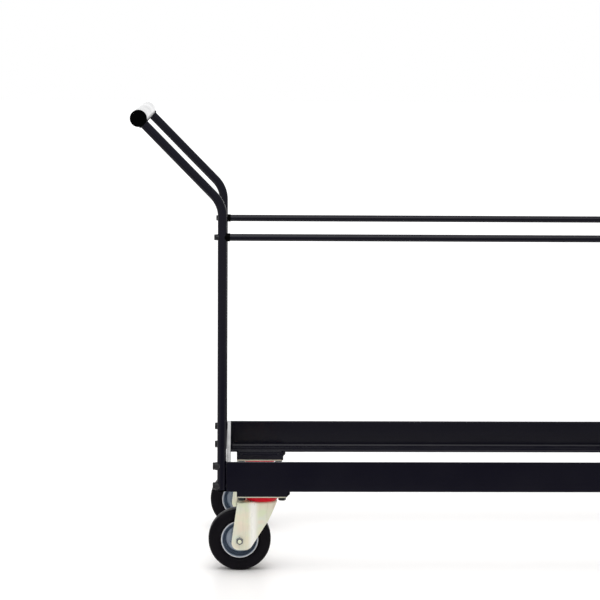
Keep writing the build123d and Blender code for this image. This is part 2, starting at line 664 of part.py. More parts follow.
def rim_half(side):
    """A pressed disc: collar on the hub, flat well, cone out to the rolled flange that holds the tyre."""
    bore = HUB_RADIUS + SEAT_GAP
    sheet_across = RIM_SHEET * sqrt(1 + RIM_SLOPE**2)
    half = outline(
        (bore, 0),
        (RIM_WELL, 0, RIM_SHEET),
        (RIM_RADIUS - RIM_FLANGE, RIM_EDGE_Y - RIM_SHEET, RIM_SHEET / 2),
        (RIM_RADIUS, RIM_EDGE_Y - RIM_SHEET, RIM_SHEET * RIM_LIP_ROUNDING),
        (RIM_RADIUS, RIM_EDGE_Y, RIM_SHEET * RIM_LIP_ROUNDING),
        (RIM_RADIUS - RIM_FLANGE + RIM_SLOPE * RIM_SHEET - sheet_across, RIM_EDGE_Y, RIM_SHEET),
        (RIM_WELL + RIM_SLOPE * RIM_SHEET - sheet_across, RIM_SHEET, RIM_SHEET),
        (bore + RIM_SHEET, RIM_SHEET, RIM_SHEET / 2),
        (bore + RIM_SHEET, RIM_COLLAR),
        (bore, RIM_COLLAR),
    )
    disc = turned(half)
    for place in RIVET_PLACES:
        disc -= rod(place, place + Vector(0, RIM_SHEET, 0), RIVET_DIAMETER / 2 + SEAT_GAP)
    return disc if side > 0 else mirror(disc, Plane.XZ)


def rivet(place):
    """A shank through both rim halves with a domed head on each side."""
    shank = Vector(0, RIM_SHEET, 0)
    piece = rod(place - shank, place + shank, RIVET_DIAMETER / 2)
    for way in (-1, 1):
        seat = place + shank * way
        top = seat + Vector(0, way * RIVET_HEAD, 0)
        head = rod(seat, top, RIVET_HEAD_DIAMETER / 2)
        head = fillet(head.edges().filter_by(GeomType.CIRCLE).sort_by_distance(top)[0], RIVET_HEAD_RADIUS)
        piece += head
    return piece


def hub_tube():
    return ring((0, -HUB_HALF, 0), (0, HUB_HALF, 0), HUB_RADIUS, HUB_BORE)


def tyre():
    """Solid rubber: a wedge between the rim halves, flat sidewalls and round shoulders."""
    bead = RIM_RADIUS - BEAD_DEPTH
    neck = RIM_RADIUS - RIM_FLANGE
    gap = SEAT_GAP * sqrt(1 + 1 / RIM_SLOPE**2)
    lip = RIM_RADIUS + SEAT_GAP
    under_lip = RIM_EDGE_Y - RIM_SHEET - SEAT_GAP
    tread = WHEEL_DIAMETER / 2
    half = [
        (bead, (bead - RIM_WELL) / RIM_SLOPE - gap),
        (neck, under_lip - gap, RIM_SHEET),
        (lip, under_lip),
        (lip, RIM_EDGE_Y),
        (lip + TYRE_BEAD_STEP, TYRE_WIDTH / 2, TYRE_BEAD_STEP / 2),
        (tread, TYRE_WIDTH / 2, TYRE_SHOULDER_RADIUS),
    ]
    other = [(point[0], -point[1], *point[2:]) for point in reversed(half)]
    return turned(outline(*half, *other))


def roller_line(i):
    turn = radians(360 * i / ROLLER_COUNT)
    return Vector(ROLLER_PITCH * cos(turn), 0, ROLLER_PITCH * sin(turn))


def roller_bearing():
    """A slotted cage and its rollers."""
    half = ROLLER_LENGTH / 2
    cage_half = half + BALL_GAP + CAGE_END_RING
    ends = (0, -cage_half, 0), (0, cage_half, 0)
    cage = ring(*ends, ROLLER_PITCH + CAGE_WALL / 2, ROLLER_PITCH - CAGE_WALL / 2)
    rollers = []
    for i in range(ROLLER_COUNT):
        line = roller_line(i)
        along = Vector(0, half, 0)
        room = Vector(0, half + BALL_GAP, 0)
        rollers.append(rod(line - along, line + along, ROLLER_DIAMETER / 2))
        cage -= rod(line - room, line + room, ROLLER_DIAMETER / 2 + BALL_GAP)
    return [cage, *rollers]


# Assembly: every node by its name
def corner_name(end, side):
    return f"{'rear' if end < 0 else 'front'}_{'right' if side < 0 else 'left'}"


def frame_nodes():
    corners = [(end, side) for end in (-1, 1) for side in (-1, 1)]
    bolts = [(end, side, z) for end, side in corners for z in FRAME_BOLT_HEIGHTS]
    nodes = {
        "rear_end_bar": end_bar(-1),
        "front_end_bar": end_bar(1),
        "handle_bar": handle_bar(),
        "handle_bar_plugs": group(handle_bar_plug(side) for side in (-1, 1)),
        "front_hoop": front_hoop(),
        "post_foot_plugs": group(foot_plug(*corner) for corner in corners),
        "side_rail_inserts": group(side_rail_insert(*corner) for corner in corners),
        "side_rail_spacers": group(side_rail_spacer(*corner) for corner in corners),
        "side_rail_washers": group(side_rail_washer(*corner) for corner in corners),
        "side_rail_bolts": group(side_rail_bolt(*corner) for corner in corners),
        "frame_bolts": group(frame_bolt(*place) for place in bolts),
        "frame_washers": group(frame_washer(*place) for place in bolts),
    }
    for name, side in SIDES.items():
        nodes[f"{name}_base_rail"] = base_rail(side)
        nodes[f"{name}_handle_post"] = handle_post(side)
        nodes[f"{name}_side_rail"] = side_rail(side)
    return nodes


def wheel_nodes(name, centre):
    """The nodes of one wheel, at its centre."""
    rim = [rim_half(-1), rim_half(1), hub_tube()]
    return {
        f"{name}_tyre": centre * tyre(),
        f"{name}_rim": group(centre * piece for piece in rim),
        f"{name}_rim_rivets": group(centre * rivet(place) for place in RIVET_PLACES),
        f"{name}_roller_bearing": group(centre * piece for piece in roller_bearing()),
    }


def swivel_caster_nodes(side):
    name = corner_name(-1, side)
    head = Pos(REAR_CASTER_X, side * CASTER_Y, 0)
    wheel = Pos(REAR_AXLE_X, side * CASTER_Y, AXLE_Z)
    return {
        f"{name}_caster_plate": head * swivel_plate(),
        f"{name}_king_pin": head * king_pin(),
        f"{name}_lower_race": head * lower_race(),
        f"{name}_swivel_balls": group(head * ball for ball in swivel_balls()),
        f"{name}_dust_ring": head * dust_ring(),
        f"{name}_fork": head * fork(),
        f"{name}_axle_bolt": wheel * axle_bolt(side),
        f"{name}_axle_nut": wheel * axle_nut(side),
        f"{name}_axle_sleeve": wheel * axle_sleeve(),
        **wheel_nodes(name, wheel),
    }


def fixed_caster_nodes():
    wheels = {side: Pos(FRONT_CASTER_X, side * CASTER_Y, AXLE_Z) for side in (-1, 1)}
    nodes = {
        "front_axle_bolts": group(wheels[side] * axle_bolt(side) for side in wheels),
        "front_axle_nuts": group(wheels[side] * axle_nut(side) for side in wheels),
        "front_axle_sleeves": group(wheels[side] * axle_sleeve() for side in wheels),
    }
    for side, wheel in wheels.items():
        name = corner_name(1, side)
        nodes[f"{name}_caster_bracket"] = Pos(FRONT_CASTER_X, side * CASTER_Y, 0) * fixed_bracket()
        nodes.update(wheel_nodes(name, wheel))
    return nodes


def caster_fastening_nodes():
    places = [Pos(x, side * CASTER_Y, 0) for x in (REAR_CASTER_X, FRONT_CASTER_X) for side in (-1, 1)]
    holes = [(place, x, y) for place in places for x, y in PLATE_HOLES]
    return {
        "caster_pads": group(place * caster_pad() for place in places),
        "caster_bolts": group(place * caster_bolt(x, y) for place, x, y in holes),
        "caster_washers": group(place * caster_washer(x, y) for place, x, y in holes),
    }


def main():
    nodes = {
        **frame_nodes(),
        **caster_fastening_nodes(),
        **swivel_caster_nodes(-1),
        **swivel_caster_nodes(1),
        **fixed_caster_nodes(),
    }
    os.makedirs("parts", exist_ok=True)
    for name, shape in nodes.items():
        export_step(shape, f"parts/{name}.step")


main()
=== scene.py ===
import json
from math import cos, pi, radians, sin, sqrt

import bmesh
import bpy
from bpy.props import FloatProperty, FloatVectorProperty, IntProperty, PointerProperty
from bpy.types import NodeSocket, Operator, Panel, PropertyGroup
from mathutils import Euler, Matrix, Vector


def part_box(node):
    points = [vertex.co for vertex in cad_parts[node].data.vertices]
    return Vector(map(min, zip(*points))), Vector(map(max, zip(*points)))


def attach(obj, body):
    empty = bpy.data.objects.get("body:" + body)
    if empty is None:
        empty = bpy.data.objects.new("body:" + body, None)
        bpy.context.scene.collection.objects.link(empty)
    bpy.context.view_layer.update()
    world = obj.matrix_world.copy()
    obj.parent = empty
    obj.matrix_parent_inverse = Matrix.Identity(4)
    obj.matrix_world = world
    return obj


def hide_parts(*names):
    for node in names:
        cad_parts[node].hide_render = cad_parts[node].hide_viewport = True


bl_info = {
    "name": "Folding chair trolley",
    "version": (1, 0, 0),
    "blender": (4, 5, 0),
    "location": "3D View > Sidebar > Trolley",
    "description": "Finishes the trolley's solids and adds welds, tyres, threads and a studio",
    "category": "Object",
}

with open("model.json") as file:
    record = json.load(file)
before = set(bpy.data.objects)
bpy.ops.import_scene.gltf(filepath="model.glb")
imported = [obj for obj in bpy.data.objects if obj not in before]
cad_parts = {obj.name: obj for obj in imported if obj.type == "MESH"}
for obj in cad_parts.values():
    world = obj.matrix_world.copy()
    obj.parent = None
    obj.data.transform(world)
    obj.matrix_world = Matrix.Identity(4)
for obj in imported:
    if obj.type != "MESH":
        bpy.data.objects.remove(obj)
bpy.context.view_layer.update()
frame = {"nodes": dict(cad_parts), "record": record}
NODES = frame["nodes"]
SLOT_OF = {part["node"]: part["material_slot"] for part in frame["record"]["subparts"]}
WHEELS = ("rear_right", "rear_left", "front_right", "front_left")
SIDES = {"right": -1, "left": 1}
MM = 0.001


def middle(node):
    """The middle of a node's box."""
    low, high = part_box(node)
    return (low + high) / 2


# Settings


class FinishSettings(PropertyGroup):
    coat_colour: FloatVectorProperty(
        name="Coat colour", description="Powder coat on the frame", subtype="COLOR",
        default=(0.0024, 0.0020, 0.0082), min=0, max=1)
    coat_thin_colour: FloatVectorProperty(
        name="Thin coat colour", description="Powder coat where it is rubbed or thin", subtype="COLOR",
        default=(0.0140, 0.0135, 0.0180), min=0, max=1)
    zinc_colour: FloatVectorProperty(
        name="Zinc colour", description="Pale yellow plating on forks and plates", subtype="COLOR",
        default=(0.885, 0.875, 0.70), min=0, max=1)
    # A painted highlight: the lighter colour given to the plating along a fork's bend
    bend_highlight_colour: FloatVectorProperty(
        name="Bend highlight colour", description="Plating where a fork is bent", subtype="COLOR",
        default=(1.0, 0.99, 0.92), min=0, max=1)
    nut_colour: FloatVectorProperty(
        name="Nut colour", description="Grey plating on the axle nuts", subtype="COLOR",
        default=(0.34, 0.35, 0.37), min=0, max=1)
    rim_colour: FloatVectorProperty(
        name="Rim colour", description="Blue white plating on the rims", subtype="COLOR",
        default=(0.29, 0.355, 0.43), min=0, max=1)
    # A painted highlight: the lighter colour on the rims' rolled lip
    rim_lip_highlight_colour: FloatVectorProperty(
        name="Rim lip colour", description="Painted highlight on the rolled edge of the rims", subtype="COLOR",
        default=(0.82, 0.83, 0.86), min=0, max=1)
    tyre_colour: FloatVectorProperty(
        name="Tyre colour", description="Rubber of the tyres", subtype="COLOR",
        default=(0.0030, 0.0022, 0.0042), min=0, max=1)
    plastic_colour: FloatVectorProperty(
        name="Plug colour", description="Moulded plugs and spacers", subtype="COLOR",
        default=(0.0004, 0.0004, 0.0005), min=0, max=1)
    bolt_colour: FloatVectorProperty(
        name="Bolt colour", description="Black oxide on bolts and washers", subtype="COLOR",
        default=(0.034, 0.034, 0.037), min=0, max=1)
    ring_colour: FloatVectorProperty(
        name="Dust ring colour", description="Moulded dust rings", subtype="COLOR",
        default=(0.68, 0.007, 0.022), min=0, max=1)
    steel_colour: FloatVectorProperty(
        name="Steel colour", description="Ground steel of pins, balls and rollers", subtype="COLOR",
        default=(0.60, 0.60, 0.60), min=0, max=1)


class WeldSettings(PropertyGroup):
    bead: FloatProperty(
        name="Bead radius", description="Radius of a weld bead", default=3.0 * MM, unit="LENGTH")
    pitch: FloatProperty(
        name="Ripple pitch", description="Length of one ripple", default=2.2 * MM, unit="LENGTH")
    depth: FloatProperty(
        name="Ripple depth", description="Ripple's share of the radius", default=0.16, subtype="FACTOR")


class TyreSettings(PropertyGroup):
    parting: FloatProperty(
        name="Parting line", description="Height of the mould's parting line", default=0.25 * MM,
        unit="LENGTH")
    rib: FloatProperty(
        name="Wall rib", description="Height of the raised ring on the side wall", default=0.5 * MM,
        unit="LENGTH")
    steps: IntProperty(name="Steps", description="Steps round a tyre", default=144, min=24)


class ThreadSettings(PropertyGroup):
    pitch: FloatProperty(
        name="Thread pitch", description="Pitch of the axle thread", default=1.25 * MM, unit="LENGTH")
    ridge: FloatProperty(
        name="Ridge", description="Radius of the thread's ridge", default=0.5 * MM, unit="LENGTH")


class StageSettings(PropertyGroup):
    camera_place: FloatVectorProperty(
        name="Camera place", description="Where the camera stands", subtype="TRANSLATION", unit="LENGTH",
        default=(-0.5509, -4.9253, 1.0796))
    camera_pitch: FloatProperty(
        name="Pitch", description="How far the camera looks down", default=radians(6.486), subtype="ANGLE")
    camera_yaw: FloatProperty(
        name="Yaw", description="How far the camera looks to the right", default=radians(1.545),
        subtype="ANGLE")
    camera_roll: FloatProperty(
        name="Roll", description="Turn about the line of sight", default=radians(0.374), subtype="ANGLE")
    lens: FloatProperty(
        name="Lens", description="Focal length", default=143.8, unit="CAMERA")
    floor_colour: FloatVectorProperty(
        name="Floor colour", description="Pale floor", subtype="COLOR",
        default=(0.80, 0.785, 0.775), min=0, max=1)
    floor_glow: FloatProperty(
        name="Floor glow", description="Light added for the camera to floor that nothing stands on",
        default=0.23)
    floor_contact: FloatProperty(
        name="Floor contact", description="How near something has to be to take the glow away", default=0.12,
        unit="LENGTH")
    ambient: FloatProperty(name="Ambient", description="Light from all round", default=0.75)
    side_level: FloatProperty(
        name="Side level", description="Brightness that reflections find in front and beside the object",
        default=0.4)
    floor_share: FloatProperty(
        name="Floor share", description="Share of its colour that reflections find in the floor further off",
        default=0.12)
    overhead_level: FloatProperty(
        name="Overhead level", description="Brightness of the overhead soft box", default=1.5)
    back_level: FloatProperty(name="Back level", description="Brightness of the back soft box", default=0.7)


# Node helpers

# The Mix node's sockets for colours, which share their names with others
MIX_FACTOR, MIX_FIRST, MIX_SECOND, MIX_RESULT = 0, 6, 7, 2


def place(tree, kind, values=None, **settings):
    """Adds a node. A value that is a socket is linked, any other is set."""
    node = tree.nodes.new(kind)
    for name, value in settings.items():
        setattr(node, name, value)
    for key, value in (values or {}).items():
        if isinstance(value, NodeSocket):
            tree.links.new(value, node.inputs[key])
        else:
            node.inputs[key].default_value = value
    return node


def figure(tree, operation, first, second=0.0):
    """One sum on numbers."""
    return place(tree, "ShaderNodeMath", {0: first, 1: second}, operation=operation).outputs[0]


def blend(tree, factor, first, second):
    """A colour between two."""
    values = {MIX_FACTOR: factor, MIX_FIRST: first, MIX_SECOND: second}
    return place(tree, "ShaderNodeMix", values, data_type="RGBA").outputs[MIX_RESULT]


def spread(tree, value, low, high, start=0.0, end=1.0):
    """A value carried from start and end to low and high."""
    values = {"Value": value, "From Min": start, "From Max": end, "To Min": low, "To Max": high}
    return place(tree, "ShaderNodeMapRange", values).outputs[0]


def object_place(tree):
    """Where a point lies in its piece's own coordinates."""
    return tree.nodes.new("ShaderNodeTexCoord").outputs["Object"]


def rgba(colour):
    """A colour as an opaque socket value."""
    return (*colour, 1.0)


def shade(colour, red, green, blue):
    """A colour with its three parts scaled."""
    return (colour[0] * red, colour[1] * green, colour[2] * blue, 1.0)


# Shared effects


def new_group(name, inputs, output):
    """A shader node group with number inputs of these names and defaults, and one number output."""
    tree = bpy.data.node_groups.new(name, "ShaderNodeTree")
    for label, default in inputs.items():
        socket = tree.interface.new_socket(label, in_out="INPUT", socket_type="NodeSocketFloat")
        socket.default_value = default
    tree.interface.new_socket(output, in_out="OUTPUT", socket_type="NodeSocketFloat")
    result = tree.nodes.new("NodeGroupOutput").inputs[output]
    return tree, tree.nodes.new("NodeGroupInput").outputs, result


def patched(tree, given, mask, start, end, **noise):
    """A mask broken up by noise that rises from start to end, scaled by the group's amount."""
    cloud = place(tree, "ShaderNodeTexNoise", {
        "Vector": object_place(tree), "Scale": given["Patches"], **noise})
    patch = spread(tree, cloud.outputs["Fac"], 0.0, 1.0, start, end)
    return figure(tree, "MULTIPLY", figure(tree, "MULTIPLY", mask, patch), given["Amount"])


def grain_group():
    """Fine grain of a surface: noise on the piece's own coordinates, drawn out along one axis if asked."""
    along = {f"Along {axis}": 1.0 for axis in "XYZ"}
    tree, given, result = new_group("grain", {"Scale": 500.0, "Detail": 2.0, **along}, "Height")
    stretch = place(tree, "ShaderNodeCombineXYZ", {axis: given[f"Along {axis}"] for axis in "XYZ"})
    mapped = place(tree, "ShaderNodeMapping", {
        "Vector": object_place(tree), "Scale": stretch.outputs[0]})
    noise = place(tree, "ShaderNodeTexNoise", {
        "Vector": mapped.outputs[0], "Scale": given["Scale"], "Detail": given["Detail"]})
    tree.links.new(noise.outputs["Fac"], result)


def edge_group():
    """Wear along edges: where a rounded normal parts from the true one, broken up by noise."""
    inputs = {"Radius": 1.0 * MM, "Patches": 60.0, "Amount": 1.0}
    tree, given, result = new_group("edge_wear", inputs, "Mask")
    rounded = place(tree, "ShaderNodeBevel", {"Radius": given["Radius"]}, samples=4)
    true = tree.nodes.new("ShaderNodeNewGeometry")
    alike = place(tree, "ShaderNodeVectorMath", {0: rounded.outputs[0], 1: true.outputs["Normal"]},
                  operation="DOT_PRODUCT")
    edge = spread(tree, alike.outputs["Value"], 1.0, 0.0, 0.60, 0.88)
    tree.links.new(patched(tree, given, edge, 0.42, 0.62, Detail=3.0), result)


def dust_group():
    """A little dust on faces that look up."""
    tree, given, result = new_group("settled_dust", {"Patches": 25.0, "Amount": 0.1}, "Mask")
    geometry = tree.nodes.new("ShaderNodeNewGeometry")
    axes = place(tree, "ShaderNodeSeparateXYZ", {0: geometry.outputs["Normal"]})
    facing = spread(tree, axes.outputs["Z"], 0.0, 1.0, 0.3, 1.0)
    tree.links.new(patched(tree, given, facing, 0.35, 0.75, Detail=6.0, Roughness=0.7), result)


def effect(tree, group, **values):
    """Places a shared effect in a material and returns its one output."""
    node = tree.nodes.new("ShaderNodeGroup")
    node.node_tree = bpy.data.node_groups[group]
    for label, value in values.items():
        node.inputs[label.replace("_", " ")].default_value = value
    return node.outputs[0]


# Materials

# Most values of a noise lie in this span
NOISE_SPAN = (0.3, 0.7)
ZINC_METAL = 0.38
# Along a fork's bend the zinc gets a painted highlight in its colour, lower roughness and less metal
BEND_BAND_METAL = 0.12
BEND_BAND_GLOSS = 0.12
BEND_BAND_HALF_WIDTH = 3.0 * MM
BEND_BAND_FADE = 8.0 * MM
RIM_LIP_RADIUS = 37.55 * MM
# Width and fade of the painted highlight inside the rim's lip
RIM_LIP_WIDTH = 1.4 * MM
RIM_LIP_FADE = 1.0 * MM
COAT_DUST_COLOUR = (0.20, 0.19, 0.18)
RING_DUST_COLOUR = (0.45, 0.30, 0.28)
BARE_ZINC_COLOUR = (0.84, 0.83, 0.80)
BARE_NUT_COLOUR = (0.62, 0.62, 0.62)
BARE_BOLT_COLOUR = (0.30, 0.30, 0.31)


def new_material(name, **sockets):
    """A material with a Principled shader whose constant sockets are set."""
    material = bpy.data.materials.new(name)
    material.use_nodes = True
    tree = material.node_tree
    skin = tree.nodes["Principled BSDF"]
    for label, value in sockets.items():
        skin.inputs[label.replace("_", " ")].default_value = value
    return material, tree, skin


def show(tree, skin, **sockets):
    """Links what changes over the surface to the shader's sockets."""
    for label, value in sockets.items():
        tree.links.new(value, skin.inputs[label.replace("_", " ")])


def bump(tree, skin, height, strength, distance):
    """Links a fine relief to the shader."""
    relief = place(tree, "ShaderNodeBump", {"Height": height, "Strength": strength, "Distance": distance})
    show(tree, skin, Normal=relief.outputs[0])


def drifting(tree, noise, colour, scale, start, end, share=1.0):
    """A colour that passes into a scaled shade of itself, or a share of that, as the noise rises."""
    return blend(tree, spread(tree, noise, 0.0, share, start, end), rgba(colour), shade(colour, *scale))


def powder_coat(look):
    """Satin powder coat: orange peel, uneven gloss, thin on edges, a trace of dust."""
    material, tree, skin = new_material("powder_coat", Specular_IOR_Level=0.30)
    peel = effect(tree, "grain", Scale=650.0, Detail=2.0)
    cloud = effect(tree, "grain", Scale=9.0, Detail=4.0)
    worn = effect(tree, "edge_wear", Radius=0.8 * MM, Patches=70.0, Amount=0.55)
    dust = effect(tree, "settled_dust", Patches=22.0, Amount=0.05)
    colour = blend(tree, worn, rgba(look.coat_colour), rgba(look.coat_thin_colour))
    colour = blend(tree, dust, colour, rgba(COAT_DUST_COLOUR))
    show(tree, skin, Base_Color=colour, Roughness=spread(tree, cloud, 0.15, 0.24, *NOISE_SPAN))
    bump(tree, skin, peel, 0.07, 0.12 * MM)
    return material


def pale_zinc(look, name="pale_zinc", bend=None):
    """Pale yellow zinc: rainbow drift, rolling lines, rubs, bright edges, and along a bend a painted
    highlight with lower roughness and less metal.
    """
    material, tree, skin = new_material(name, Metallic=ZINC_METAL)
    drift = effect(tree, "grain", Scale=28.0, Detail=3.0)
    rainbow = effect(tree, "grain", Scale=42.0, Detail=2.0)
    lines = effect(tree, "grain", Scale=260.0, Detail=3.0, Along_Z=0.06)
    rubs = effect(tree, "grain", Scale=70.0, Detail=8.0, Along_X=0.3)
    worn = effect(tree, "edge_wear", Radius=1.2 * MM, Patches=40.0, Amount=0.8)
    tint = look.zinc_colour
    warm, cool = shade(tint, 1.03, 0.99, 0.95), shade(tint, 0.97, 1.02, 1.06)
    pink, green = shade(tint, 1.06, 0.95, 0.96), shade(tint, 0.96, 1.04, 0.94)
    streak, rubbed = shade(tint, 0.80, 0.79, 0.77), shade(tint, 0.70, 0.70, 0.72)
    colour = blend(tree, spread(tree, drift, 0.0, 1.0, 0.35, 0.65), warm, cool)
    colour = blend(tree, spread(tree, rainbow, 0.0, 0.9, 0.52, 0.68), colour, pink)
    colour = blend(tree, spread(tree, rainbow, 0.9, 0.0, 0.32, 0.48), colour, green)
    colour = blend(tree, spread(tree, lines, 0.0, 0.5, 0.55, 0.8), colour, streak)
    colour = blend(tree, spread(tree, rubs, 0.0, 0.5, 0.63, 0.72), colour, rubbed)
    marks = figure(tree, "ADD", lines, figure(tree, "MULTIPLY", rubs, 0.3))
    rough = spread(tree, marks, 0.32, 0.52, 0.35, 0.95)
    # Along the bend: a painted highlight in the colour, with lower roughness and less metal
    if bend is not None:
        axes = place(tree, "ShaderNodeSeparateXYZ", {0: object_place(tree)})
        away = figure(tree, "ABSOLUTE", figure(tree, "SUBTRACT", axes.outputs["X"], bend))
        bend_gloss_and_highlight = spread(tree, away, 1.0, 0.0, BEND_BAND_HALF_WIDTH, BEND_BAND_HALF_WIDTH + BEND_BAND_FADE)
        colour = blend(tree, bend_gloss_and_highlight, colour, rgba(look.bend_highlight_colour))
        rough = figure(tree, "SUBTRACT", rough, figure(tree, "MULTIPLY", bend_gloss_and_highlight, BEND_BAND_GLOSS))
        show(tree, skin, Metallic=spread(tree, bend_gloss_and_highlight, ZINC_METAL, BEND_BAND_METAL))
    colour = blend(tree, worn, colour, rgba(BARE_ZINC_COLOUR))
    show(tree, skin, Base_Color=colour, Roughness=rough)
    bump(tree, skin, lines, 0.06, 0.1 * MM)
    return material


def nut_zinc(look):
    """Dull grey zinc on the axle nuts, darker in patches and bright along the edges."""
    material, tree, skin = new_material("nut_zinc", Metallic=1.0)
    cloud = effect(tree, "grain", Scale=190.0, Detail=3.0)
    worn = effect(tree, "edge_wear", Radius=0.5 * MM, Patches=120.0, Amount=0.8)
    colour = drifting(tree, cloud, look.nut_colour, (0.7, 0.7, 0.72), 0.35, 0.65)
    colour = blend(tree, worn, colour, rgba(BARE_NUT_COLOUR))
    show(tree, skin, Base_Color=colour, Roughness=spread(tree, cloud, 0.28, 0.44, *NOISE_SPAN))
    bump(tree, skin, cloud, 0.05, 0.08 * MM)
    return material


def rim_zinc(look, wheel):
    """Blue white zinc on a pressed rim: fine rings about the axle, drifting tint, and on the lip a painted
    highlight with less metal.
    """
    material, tree, skin = new_material(f"rim_zinc_{wheel}")
    centre = middle(f"{wheel}_rim")
    mapped = place(tree, "ShaderNodeMapping", {"Vector": object_place(tree), "Location": -centre})
    flat = place(tree, "ShaderNodeVectorMath", {0: mapped.outputs[0], 1: (1.0, 0.0, 1.0)},
                 operation="MULTIPLY")
    length = place(tree, "ShaderNodeVectorMath", {0: flat.outputs[0]}, operation="LENGTH")
    radius = length.outputs["Value"]
    noise = place(tree, "ShaderNodeTexNoise", {"W": radius, "Scale": 900.0, "Detail": 2.0},
                  noise_dimensions="1D")
    rings = noise.outputs["Fac"]
    drift = effect(tree, "grain", Scale=45.0, Detail=3.0)
    # A painted highlight on the lip, where the metal also drops
    lip_start = RIM_LIP_RADIUS - RIM_LIP_WIDTH
    lip = spread(tree, radius, 0.0, 1.0, lip_start - RIM_LIP_FADE, lip_start)
    colour = drifting(tree, drift, look.rim_colour, (1.12, 1.05, 1.05), 0.35, 0.65)
    colour = blend(tree, lip, colour, rgba(look.rim_lip_highlight_colour))
    show(tree, skin, Base_Color=colour, Metallic=spread(tree, lip, 0.9, 0.65),
         Roughness=spread(tree, rings, 0.22, 0.36, 0.25, 0.75))
    bump(tree, skin, rings, 0.05, 0.1 * MM)
    return material


def moulded_rubber(look):
    """Moulded rubber: fine pores and uneven bloom."""
    material, tree, skin = new_material("moulded_rubber", Specular_IOR_Level=0.11)
    pores = effect(tree, "grain", Scale=900.0, Detail=2.0)
    bloom = effect(tree, "grain", Scale=35.0, Detail=5.0)
    colour = drifting(tree, bloom, look.tyre_colour, (2.2, 2.2, 2.1), 0.45, 0.75, share=0.7)
    show(tree, skin, Base_Color=colour, Roughness=spread(tree, bloom, 0.38, 0.56, *NOISE_SPAN))
    bump(tree, skin, pores, 0.12, 0.12 * MM)
    return material


def grained_plastic(look):
    """Moulded plastic with a fine spark-eroded grain."""
    material, tree, skin = new_material("grained_plastic", Specular_IOR_Level=0.03)
    grain = effect(tree, "grain", Scale=1100.0, Detail=2.0)
    cloud = effect(tree, "grain", Scale=40.0, Detail=3.0)
    colour = drifting(tree, cloud, look.plastic_colour, (1.8, 1.8, 1.8), 0.4, 0.7)
    show(tree, skin, Base_Color=colour, Roughness=spread(tree, cloud, 0.46, 0.58, *NOISE_SPAN))
    bump(tree, skin, grain, 0.15, 0.1 * MM)
    return material


def black_oxide(look):
    """Blackened bolts and washers, rubbed bright along the edges."""
    material, tree, skin = new_material("black_oxide", Specular_IOR_Level=0.5)
    cloud = effect(tree, "grain", Scale=160.0, Detail=3.0)
    worn = effect(tree, "edge_wear", Radius=0.5 * MM, Patches=140.0, Amount=0.8)
    colour = blend(tree, worn, rgba(look.bolt_colour), rgba(BARE_BOLT_COLOUR))
    show(tree, skin, Base_Color=colour, Metallic=spread(tree, cloud, 0.5, 0.8, *NOISE_SPAN),
         Roughness=spread(tree, cloud, 0.34, 0.50, *NOISE_SPAN))
    bump(tree, skin, cloud, 0.05, 0.08 * MM)
    return material


def glossy_plastic(look):
    """Glossy moulded plastic of the dust rings, with a trace of dust."""
    material, tree, skin = new_material("glossy_plastic", Specular_IOR_Level=0.05)
    cloud = effect(tree, "grain", Scale=60.0, Detail=3.0)
    dust = effect(tree, "settled_dust", Patches=60.0, Amount=0.01)
    colour = drifting(tree, cloud, look.ring_colour, (0.86, 0.9, 0.9), 0.35, 0.65)
    colour = blend(tree, dust, colour, rgba(RING_DUST_COLOUR))
    show(tree, skin, Base_Color=colour, Roughness=spread(tree, cloud, 0.26, 0.38, *NOISE_SPAN))
    bump(tree, skin, cloud, 0.04, 0.1 * MM)
    return material


def ground_steel(look):
    """Ground and oiled steel of pins, balls and rollers."""
    material, tree, skin = new_material("ground_steel", Metallic=1.0)
    film = effect(tree, "grain", Scale=120.0, Detail=3.0)
    colour = drifting(tree, film, look.steel_colour, (0.8, 0.76, 0.68), 0.4, 0.7)
    show(tree, skin, Base_Color=colour, Roughness=spread(tree, film, 0.12, 0.26, *NOISE_SPAN))
    return material


def dress(material, slot):
    """Gives a material to every node of a slot."""
    for node, node_slot in SLOT_OF.items():
        if node_slot == slot:
            wear(NODES[node], material)


def wear(piece, material):
    """Makes this the piece's only material."""
    piece.data.materials.clear()
    piece.data.materials.append(material)


# Pieces


def join_body(piece, body):
    """Sets the body that a new piece rides on."""
    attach(piece, body)


def new_piece(name, data):
    """A new object in the scene."""
    piece = bpy.data.objects.new(name, data)
    bpy.context.scene.collection.objects.link(piece)
    return piece


def plain_mesh(piece, name):
    """The piece's evaluated result as a plain mesh in a new object, without empty material slots."""
    bpy.context.view_layer.update()
    graph = bpy.context.evaluated_depsgraph_get()
    mesh = bpy.data.meshes.new_from_object(piece.evaluated_get(graph), depsgraph=graph)
    if not mesh.polygons:
        raise RuntimeError(f"{name} came out empty")
    while mesh.materials[0] is None:
        mesh.materials.pop(index=0)
    bpy.data.objects.remove(piece)
    return new_piece(name, mesh)


def new_tree(name, inputs):
    """A geometry node tree with a geometry in and out and these further inputs."""
    tree = bpy.data.node_groups.new(name, "GeometryNodeTree")
    tree.interface.new_socket("Geometry", in_out="INPUT", socket_type="NodeSocketGeometry")
    tree.interface.new_socket("Geometry", in_out="OUTPUT", socket_type="NodeSocketGeometry")
    for label, kind in inputs.items():
        tree.interface.new_socket(label, in_out="INPUT", socket_type=kind)
    return tree, tree.nodes.new("NodeGroupInput").outputs


def close_tree(tree, geometry, material):
    """Ends a tree in real geometry with its material."""
    smooth = place(tree, "GeometryNodeSetShadeSmooth", {"Geometry": geometry})
    real = place(tree, "GeometryNodeRealizeInstances", {"Geometry": smooth.outputs[0]})
    coated = place(tree, "GeometryNodeSetMaterial", {"Geometry": real.outputs[0], "Material": material})
    place(tree, "NodeGroupOutput", {0: coated.outputs[0]})


def grow(piece, tree, **values):
    """Runs a tree on a piece, its inputs set by their identifiers."""
    modifier = piece.modifiers.new(tree.name, "NODES")
    modifier.node_group = tree
    for item in tree.interface.items_tree:
        if item.in_out == "INPUT" and item.name in values:
            modifier[item.identifier] = values[item.name]


# Welds

